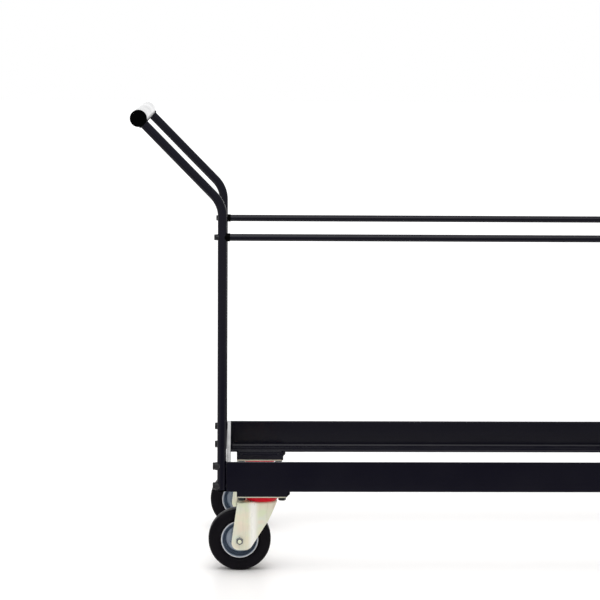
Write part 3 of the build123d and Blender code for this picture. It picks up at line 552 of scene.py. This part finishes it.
RAIL_WALL = 5.0 * MM
RAIL_ROOT_RADIUS = 6.0 * MM
ROOT_STEPS = 6
CORNER_LEAD = 0.6 * MM
CORNER_TOP_GAP = 2.0 * MM
CORNER_TOE_GAP = 1.5 * MM
PAD_LENGTH = 100.0 * MM
PAD_BACK_GAP = 1.0 * MM
PAD_TOE_GAP = 3.0 * MM
PAD_PASSES = (
    {"reach": -0.4 * MM, "rise": -1.4 * MM, "share": 1.0},
    {"reach": 1.8 * MM, "rise": 1.8 * MM, "share": 1.25},
)
BAR_RADIUS = 33.7 / 2 * MM
POST_RADIUS = 9.0 * MM
# Direction of the posts' sloping stretch
POST_RISE = Vector((-164.0, 0.0, 167.0)).normalized()
SADDLE_STEPS = 48
SADDLE_SHARE = 0.8
SADDLE_SINK = 0.8
BEAD_SIDES = 14
RIPPLE_STEPS = 5.0
RIPPLE_CURVE = 1.6


def rail_edges(low, high, sign):
    """The Y of a base rail's toe and of its back."""
    return (low.y, high.y) if sign > 0 else (high.y, low.y)


def corner_runs():
    """Inside each corner: down the rail's upright, round its root and along its shelf."""
    for side, sign in SIDES.items():
        low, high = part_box(f"{side}_base_rail")
        toe, back = rail_edges(low, high, sign)
        wall = back - sign * RAIL_WALL
        shelf = low.z + RAIL_WALL
        for end, inward in ((low.x, 1), (high.x, -1)):
            x = end + inward * CORNER_LEAD
            line = [(x, wall, high.z - CORNER_TOP_GAP)]
            for step in range(ROOT_STEPS + 1):
                angle = pi / 2 * step / ROOT_STEPS
                inset = RAIL_ROOT_RADIUS * (1 - cos(angle))
                rise = RAIL_ROOT_RADIUS * (1 - sin(angle))
                line.append((x, wall - sign * inset, shelf + rise))
            line.append((x, toe + sign * CORNER_TOE_GAP, shelf))
            yield line, 1.0, False


def pad_runs():
    """Each pad: across its inward end under the shelf, and along the shelf's toe on top."""
    low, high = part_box("caster_pads")
    height = (low.z + high.z) / 2
    for side, sign in SIDES.items():
        toe, back = rail_edges(*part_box(f"{side}_base_rail"), sign)
        for end, inward in ((low.x, 1), (high.x, -1)):
            inner = end + inward * PAD_LENGTH
            for run in PAD_PASSES:
                x = inner + inward * run["reach"]
                z = height + run["rise"]
                yield [(x, toe, z), (x, back - sign * PAD_BACK_GAP, z)], run["share"], False
            gap = inward * PAD_TOE_GAP
            yield [(end + gap, toe, high.z), (inner - gap, toe, high.z)], 1.0, False


def saddle_runs(bead):
    """Each post's coped end on the grip bar: the line where the two tubes meet."""
    across = Vector((POST_RISE.z, 0.0, -POST_RISE.x))
    centre = middle("handle_bar")
    for side in SIDES:
        y = middle(f"{side}_handle_post").y
        line = []
        for step in range(SADDLE_STEPS):
            angle = 2 * pi * step / SADDLE_STEPS
            offset = POST_RADIUS * cos(angle)
            spot = across * offset - POST_RISE * sqrt(BAR_RADIUS**2 - offset**2)
            sideways = (POST_RADIUS - SADDLE_SINK * bead) * sin(angle)
            line.append((centre.x + spot.x, y + sideways, centre.z + spot.z))
        yield line, SADDLE_SHARE, True


def bead_tree():
    """A weld bead along a curve, with a ripple for each drop of metal."""
    tree, given = new_tree("weld_bead", {
        "Bead Radius": "NodeSocketFloat", "Ripple Pitch": "NodeSocketFloat",
        "Ripple Depth": "NodeSocketFloat", "Material": "NodeSocketMaterial"})
    fine = figure(tree, "DIVIDE", given["Ripple Pitch"], RIPPLE_STEPS)
    path = place(tree, "GeometryNodeResampleCurve", {"Curve": given["Geometry"], "Length": fine},
                 mode="LENGTH")
    along = tree.nodes.new("GeometryNodeSplineParameter").outputs["Length"]
    phase = figure(tree, "FRACT", figure(tree, "DIVIDE", along, given["Ripple Pitch"]))
    ripple = figure(tree, "MULTIPLY", figure(tree, "POWER", phase, RIPPLE_CURVE), given["Ripple Depth"])
    radius = tree.nodes.new("GeometryNodeInputRadius").outputs[0]
    scale = figure(tree, "MULTIPLY", radius, figure(tree, "SUBTRACT", 1.0, ripple))
    ring = place(tree, "GeometryNodeCurvePrimitiveCircle", {
        "Resolution": BEAD_SIDES, "Radius": given["Bead Radius"]})
    bead = place(tree, "GeometryNodeCurveToMesh", {
        "Curve": path.outputs[0], "Profile Curve": ring.outputs[0], "Scale": scale, "Fill Caps": True})
    close_tree(tree, bead.outputs[0], given["Material"])
    return tree


class TROLLEY_OT_welds(Operator):
    """Lays the weld beads of the base frame and the grip bar"""

    bl_idname = "trolley.welds"
    bl_label = "Welds"

    def execute(self, context):
        size = context.scene.trolley_weld
        curve = bpy.data.curves.new("weld_paths", "CURVE")
        curve.dimensions = "3D"
        for points, share, closed in [*corner_runs(), *pad_runs(), *saddle_runs(size.bead)]:
            spline = curve.splines.new("POLY")
            spline.points.add(len(points) - 1)
            spline.use_cyclic_u = closed
            for point, spot in zip(spline.points, points):
                point.co = (*spot, 1.0)
                point.radius = share
        paths = new_piece("weld_paths", curve)
        grow(paths, bead_tree(), **{
            "Bead Radius": size.bead, "Ripple Pitch": size.pitch, "Ripple Depth": size.depth,
            "Material": bpy.data.materials["powder_coat"]})
        join_body(plain_mesh(paths, "weld_beads"), "frame")
        return {"FINISHED"}


# Tyres

SHOULDER_RADIUS = 7.5 * MM
PARTING_HALF_TOP = 0.4 * MM
PARTING_HALF_FOOT = 0.9 * MM
RIB_SHOULDER_GAP = 1.5 * MM
RIB_STEP_GAP = 3.5 * MM
RIB_SLOPE = 2
STEP_HEIGHT = 4.0 * MM
STEP_BEVEL = (1.0 * MM, 0.6 * MM)
RIM_LIP_Y = 14.0 * MM
SHARP_DEGREES = 50


def arc(centre, radius, start, end, steps=8):
    """Points of an arc, in degrees, as (distance from the axle, place along it)."""
    for step in range(steps + 1):
        angle = radians(start + (end - start) * step / steps)
        yield centre[0] + radius * sin(angle), centre[1] + radius * cos(angle)


def tyre_profile(radius, half, size):
    """Half a tyre's section from the parting line to the middle of its bore."""
    tread = radius - size.parting
    wall = half - size.rib
    shoulder = (tread - SHOULDER_RADIUS, wall - SHOULDER_RADIUS)
    step = RIM_LIP_RADIUS + STEP_HEIGHT
    rib_top = tread - SHOULDER_RADIUS - RIB_SHOULDER_GAP
    rib_foot = step + RIB_STEP_GAP
    slope = RIB_SLOPE * size.rib
    return [
        (radius, 0.0),
        (radius, PARTING_HALF_TOP),
        (tread, PARTING_HALF_FOOT),
        *arc(shoulder, SHOULDER_RADIUS, 90, 0),
        (rib_top, wall),
        (rib_top - slope, half),
        (rib_foot + slope, half),
        (rib_foot, wall),
        (step + STEP_BEVEL[0], wall),
        (step, wall - STEP_BEVEL[1]),
        (RIM_LIP_RADIUS, RIM_LIP_Y),
        (RIM_LIP_RADIUS, 0.0),
    ]


def turned(name, half_profile, centre, steps):
    """A ring turned about an axle that runs along Y, its profile mirrored about the middle."""
    mirrored = [(radius, -y) for radius, y in reversed(half_profile[1:-1])]
    profile = [*half_profile, *mirrored]
    shape = bmesh.new()
    rings = []
    for step in range(steps):
        turn = 2 * pi * step / steps
        spots = [Vector((radius * cos(turn), y, radius * sin(turn))) for radius, y in profile]
        rings.append([shape.verts.new(centre + spot) for spot in spots])
    for near, far in zip(rings, [*rings[1:], rings[0]]):
        for first in range(len(profile)):
            second = (first + 1) % len(profile)
            shape.faces.new((near[first], near[second], far[second], far[first]))
    bmesh.ops.recalc_face_normals(shape, faces=shape.faces)
    mesh = bpy.data.meshes.new(name)
    shape.to_mesh(mesh)
    shape.free()
    mesh.shade_smooth()
    mesh.set_sharp_from_angle(angle=radians(SHARP_DEGREES))
    return new_piece(name, mesh)


class TROLLEY_OT_tyres(Operator):
    """Turns the tyres with their parting line and wall rib"""

    bl_idname = "trolley.tyres"
    bl_label = "Tyres"

    def execute(self, context):
        size = context.scene.trolley_tyre
        for wheel in WHEELS:
            node = f"{wheel}_tyre"
            low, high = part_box(node)
            profile = tyre_profile((high.z - low.z) / 2, (high.y - low.y) / 2, size)
            tyre = turned(f"{wheel}_moulded_tyre", profile, middle(node), size.steps)
            wear(tyre, bpy.data.materials["moulded_rubber"])
            join_body(tyre, f"{wheel}_wheel")
            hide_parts(node)
        return {"FINISHED"}


# Axle threads and lock rings

AXLE_RADIUS = 4.0 * MM
THREAD_TURNS = 1.1
THREAD_SINK = 0.8
THREAD_STEPS = 48
RIDGE_SIDES = 6
LOCK_RING_RADIUS = 4.5 * MM
LOCK_RING_HALF_WIDTH = 0.45 * MM
LOCK_RING_STEPS = 40
LOCK_RING_SIDES = 10
# The bodies that carry axles, with the wheels on them
AXLE_GROUPS = {
    "frame": ("front_right", "front_left"),
    "rear_right_swivel": ("rear_right",),
    "rear_left_swivel": ("rear_left",),
}


def stand_out(tree, points, shape):
    """A copy of a shape on each point, its Z along the point's outward direction."""
    outward = place(tree, "GeometryNodeInputNamedAttribute", {"Name": "outward"},
                    data_type="FLOAT_VECTOR")
    turn = place(tree, "FunctionNodeAlignRotationToVector", {"Vector": outward.outputs[0]}, axis="Z")
    copies = place(tree, "GeometryNodeInstanceOnPoints", {
        "Points": points, "Instance": shape, "Rotation": turn.outputs[0]})
    return copies.outputs[0]


def outward_points(name, starts):
    """Points that each hold the direction in which they face."""
    mesh = bpy.data.meshes.new(name)
    mesh.from_pydata([start for start, outward in starts], [], [])
    attribute = mesh.attributes.new("outward", "FLOAT_VECTOR", "POINT")
    for entry, (start, outward) in zip(attribute.data, starts):
        entry.vector = outward
    return new_piece(name, mesh)


def thread_tree():
    """A screw thread standing on each point along its outward direction."""
    tree, given = new_tree("axle_thread", {
        "Thread Radius": "NodeSocketFloat", "Pitch": "NodeSocketFloat", "Turns": "NodeSocketFloat",
        "Ridge": "NodeSocketFloat", "Material": "NodeSocketMaterial"})
    height = figure(tree, "MULTIPLY", given["Pitch"], given["Turns"])
    helix = place(tree, "GeometryNodeCurveSpiral", {
        "Resolution": THREAD_STEPS, "Rotations": given["Turns"], "Start Radius": given["Thread Radius"],
        "End Radius": given["Thread Radius"], "Height": height})
    ridge = place(tree, "GeometryNodeCurvePrimitiveCircle", {
        "Resolution": RIDGE_SIDES, "Radius": given["Ridge"]})
    thread = place(tree, "GeometryNodeCurveToMesh", {
        "Curve": helix.outputs[0], "Profile Curve": ridge.outputs[0], "Fill Caps": True})
    close_tree(tree, stand_out(tree, given["Geometry"], thread.outputs[0]), given["Material"])
    return tree


def ring_tree():
    """A moulded ring standing on each point, square to its outward direction."""
    tree, given = new_tree("lock_ring", {
        "Ring Radius": "NodeSocketFloat", "Half Width": "NodeSocketFloat", "Material": "NodeSocketMaterial"})
    circle = place(tree, "GeometryNodeCurvePrimitiveCircle", {
        "Resolution": LOCK_RING_STEPS, "Radius": given["Ring Radius"]})
    section = place(tree, "GeometryNodeCurvePrimitiveCircle", {
        "Resolution": LOCK_RING_SIDES, "Radius": given["Half Width"]})
    ring = place(tree, "GeometryNodeCurveToMesh", {
        "Curve": circle.outputs[0], "Profile Curve": section.outputs[0]})
    close_tree(tree, stand_out(tree, given["Geometry"], ring.outputs[0]), given["Material"])
    return tree


def axle_ends(body):
    """Where each axle on a body leaves its nut, and the direction in which it points."""
    for wheel in AXLE_GROUPS[body]:
        sign = SIDES[wheel.split("_")[1]]
        nut = "front_axle_nuts" if body == "frame" else f"{wheel}_axle_nut"
        axle = middle(f"{wheel}_rim")
        low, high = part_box(nut)
        yield (axle.x, high.y if sign > 0 else low.y, axle.z), (0.0, sign, 0.0)


class TROLLEY_OT_threads(Operator):
    """Cuts the threads that show past the axle nuts and seats the nuts' lock rings"""

    bl_idname = "trolley.threads"
    bl_label = "Axle threads"

    def execute(self, context):
        size = context.scene.trolley_thread
        threads, rings = thread_tree(), ring_tree()
        for body in AXLE_GROUPS:
            ends = list(axle_ends(body))
            points = outward_points("thread_starts", ends)
            grow(points, threads, **{
                "Thread Radius": AXLE_RADIUS - THREAD_SINK * size.ridge, "Pitch": size.pitch,
                "Turns": THREAD_TURNS, "Ridge": size.ridge, "Material": bpy.data.materials["pale_zinc"]})
            join_body(plain_mesh(points, f"axle_threads_{body}"), body)
            points = outward_points("ring_seats", ends)
            grow(points, rings, **{
                "Ring Radius": LOCK_RING_RADIUS, "Half Width": LOCK_RING_HALF_WIDTH,
                "Material": bpy.data.materials["grained_plastic"]})
            join_body(plain_mesh(points, f"lock_rings_{body}"), body)
        return {"FINISHED"}


# Finishes

FORK_BEND_LEAD = 16.9 * MM


class TROLLEY_OT_finishes(Operator):
    """Gives every solid its finish"""

    bl_idname = "trolley.finishes"
    bl_label = "Finishes"

    def execute(self, context):
        look = context.scene.trolley_finish
        grain_group()
        edge_group()
        dust_group()
        dress(powder_coat(look), "frame_paint")
        dress(pale_zinc(look), "zinc_plate")
        forks = pale_zinc(look, "fork_zinc", middle("rear_right_king_pin").x - FORK_BEND_LEAD)
        for side in SIDES:
            wear(NODES[f"rear_{side}_fork"], forks)
        nuts = nut_zinc(look)
        for node in ("rear_right_axle_nut", "rear_left_axle_nut", "front_axle_nuts"):
            wear(NODES[node], nuts)
        dress(grained_plastic(look), "black_plastic")
        dress(black_oxide(look), "dark_fasteners")
        dress(glossy_plastic(look), "red_plastic")
        dress(ground_steel(look), "bearing_steel")
        dress(moulded_rubber(look), "tyre_rubber")
        for wheel in WHEELS:
            wear(NODES[f"{wheel}_rim"], rim_zinc(look, wheel))
            wear(NODES[f"{wheel}_rim_rivets"], bpy.data.materials[f"rim_zinc_{wheel}"])
        return {"FINISHED"}


# Stage

FLOOR_SIZE = 60.0
WHITE = (1.0, 1.0, 1.0)
BLACK = (0.0, 0.0, 0.0)
# How straight behind the object a reflection looks: the Y of its direction
BEHIND_SPAN = (0.86, 0.96)
# Reflections find the floor dim from this far off the strip under the trolley, less so past its ends
STRIP_HALF_LENGTH = 0.6
STRIP_SPAN = (0.6, 1.1)
STRIP_END_SPAN = (0.3, 1.8)
STRIP_END_DIM = 0.35
# Far in front of the trolley, the floor has its full colour again
FRONT_SPAN = (-4.2, -2.2)
# Behind the trolley, the camera finds the floor white
BACK_SPAN = (0.5, 2.0)
# How open the floor is: the share of the sky over it that nothing near takes away
OPEN_SPAN = (0.5, 0.95)
OVERHEAD_BOX = {"spot": (-0.8, -1.4, 3.0), "aim": (0.0, 0.0, 0.3), "size": (4.0, 3.0)}
BACK_BOX = {"spot": (0.0, 5.0, 1.6), "aim": (0.0, 0.0, 0.5), "size": (3.6, 3.0)}
SENSOR_WIDTH = 36.0
VIEW_DEPTH = 200.0


def studio_world(stage):
    """White to the camera and straight behind the object, dimmer to reflections elsewhere, even otherwise."""
    world = bpy.data.worlds.new("studio")
    world.use_nodes = True
    tree = world.node_tree
    rays = tree.nodes.new("ShaderNodeLightPath").outputs
    direction = tree.nodes.new("ShaderNodeTexCoord")
    axes = place(tree, "ShaderNodeSeparateXYZ", {0: direction.outputs["Generated"]})
    mirrored = spread(tree, axes.outputs["Y"], stage.side_level, 1.0, *BEHIND_SPAN)
    shiny = figure(tree, "MAXIMUM", rays["Is Glossy Ray"], rays["Is Transmission Ray"])
    level = spread(tree, shiny, stage.ambient, mirrored)
    level = spread(tree, rays["Is Camera Ray"], level, 1.0)
    background = tree.nodes["Background"]
    background.inputs["Color"].default_value = rgba(WHITE)
    tree.links.new(level, background.inputs["Strength"])
    return world


def floor_material(stage):
    """Pale floor: white to the camera away from the object's shadow, with painted shade deepening it where
    the camera glow fades near the object, dim further off for reflections.
    """
    material, tree, skin = new_material(
        "pale_floor", Roughness=0.35, Specular_IOR_Level=0.12, Emission_Color=rgba(WHITE))
    axes = place(tree, "ShaderNodeSeparateXYZ", {0: object_place(tree)})
    along, across = axes.outputs["X"], axes.outputs["Y"]
    rays = tree.nodes.new("ShaderNodeLightPath").outputs
    past_end = figure(tree, "SUBTRACT", figure(tree, "ABSOLUTE", along), STRIP_HALF_LENGTH)
    apart = figure(tree, "MAXIMUM", past_end, figure(tree, "ABSOLUTE", across))
    dim = spread(tree, apart, 0.0, 1.0, *STRIP_SPAN)
    dim = figure(tree, "MULTIPLY", dim, spread(tree, across, 0.0, 1.0, *FRONT_SPAN))
    dim = figure(tree, "MULTIPLY", dim, spread(tree, past_end, 1.0, STRIP_END_DIM, *STRIP_END_SPAN))
    dim = figure(tree, "MULTIPLY", dim, rays["Is Glossy Ray"])
    share = stage.floor_share
    colour = blend(tree, dim, rgba(stage.floor_colour), shade(stage.floor_colour, share, share, share))
    behind = spread(tree, across, 0.0, 1.0, *BACK_SPAN)
    behind = figure(tree, "MULTIPLY", behind, rays["Is Camera Ray"])
    # Painted shade: the camera glow fades where something stands close, darkening the floor round the wheels
    # and under the frame
    open_floor = place(tree, "ShaderNodeAmbientOcclusion", {"Distance": stage.floor_contact}, samples=8)
    glow = spread(tree, open_floor.outputs["AO"], 0.0, stage.floor_glow, *OPEN_SPAN)
    glow = figure(tree, "MULTIPLY", spread(tree, behind, glow, 1.0), rays["Is Camera Ray"])
    show(tree, skin, Base_Color=blend(tree, behind, colour, rgba(BLACK)), Emission_Strength=glow)
    return material


def lay_floor(stage):
    """The floor, a plain square that isn't part of the object."""
    half = FLOOR_SIZE / 2
    corners = [(-half, -half, 0), (half, -half, 0), (half, half, 0), (-half, half, 0)]
    mesh = bpy.data.meshes.new("floor")
    mesh.from_pydata(corners, [], [(0, 1, 2, 3)])
    floor = new_piece("floor", mesh)
    wear(floor, floor_material(stage))


def soft_box(name, level, spot, aim, size):
    """A rectangular lamp at a spot, facing another, as bright as a white surface times its level."""
    lamp = bpy.data.lights.new(name, "AREA")
    lamp.shape = "RECTANGLE"
    lamp.size, lamp.size_y = size
    lamp.energy = level * pi * size[0] * size[1]
    holder = new_piece(name, lamp)
    holder.location = spot
    holder.rotation_euler = (Vector(aim) - Vector(spot)).to_track_quat("-Z", "Y").to_euler()
    holder.visible_camera = False


def new_camera(stage):
    """The camera, level and looking along +Y before it is turned."""
    camera = bpy.data.cameras.new("camera")
    camera.lens = stage.lens
    camera.sensor_width = SENSOR_WIDTH
    camera.clip_end = VIEW_DEPTH
    holder = new_piece("camera", camera)
    look = Euler((pi / 2 - stage.camera_pitch, 0.0, -stage.camera_yaw)).to_matrix()
    look = look @ Matrix.Rotation(stage.camera_roll, 3, "Z")
    holder.matrix_world = Matrix.Translation(stage.camera_place) @ look.to_4x4()
    return holder


class TROLLEY_OT_studio(Operator):
    """Sets the floor, the light and the camera"""

    bl_idname = "trolley.studio"
    bl_label = "Studio"

    def execute(self, context):
        scene = context.scene
        stage = scene.trolley_stage
        scene.world = studio_world(stage)
        scene.view_settings.view_transform = "Standard"
        lay_floor(stage)
        soft_box("overhead_soft_box", stage.overhead_level, **OVERHEAD_BOX)
        soft_box("back_soft_box", stage.back_level, **BACK_BOX)
        scene.camera = new_camera(stage)
        return {"FINISHED"}


# Panel and registration

STEPS = (TROLLEY_OT_finishes, TROLLEY_OT_welds, TROLLEY_OT_tyres, TROLLEY_OT_threads, TROLLEY_OT_studio)
SETTINGS = {
    "trolley_finish": FinishSettings,
    "trolley_weld": WeldSettings,
    "trolley_tyre": TyreSettings,
    "trolley_thread": ThreadSettings,
    "trolley_stage": StageSettings,
}


class TROLLEY_PT_panel(Panel):
    """Lists the trolley's settings and steps"""

    bl_idname = "TROLLEY_PT_panel"
    bl_label = "Trolley"
    bl_space_type = "VIEW_3D"
    bl_region_type = "UI"
    bl_category = "Trolley"

    def draw(self, context):
        for step in STEPS:
            self.layout.operator(step.bl_idname)
        for name in SETTINGS:
            group = getattr(context.scene, name)
            box = self.layout.box()
            for setting in group.bl_rna.properties.keys():
                if setting not in ("rna_type", "name"):
                    box.prop(group, setting)


def register():
    for group in SETTINGS.values():
        bpy.utils.register_class(group)
    for name, group in SETTINGS.items():
        setattr(bpy.types.Scene, name, PointerProperty(type=group))
    for step in (*STEPS, TROLLEY_PT_panel):
        bpy.utils.register_class(step)


def unregister():
    for step in (TROLLEY_PT_panel, *STEPS):
        bpy.utils.unregister_class(step)
    for name, group in SETTINGS.items():
        delattr(bpy.types.Scene, name)
        bpy.utils.unregister_class(group)


def main():
    register()
    bpy.ops.trolley.finishes()
    bpy.ops.trolley.welds()
    bpy.ops.trolley.tyres()
    bpy.ops.trolley.threads()
    bpy.ops.trolley.studio()


if __name__ == "__main__":
    main()
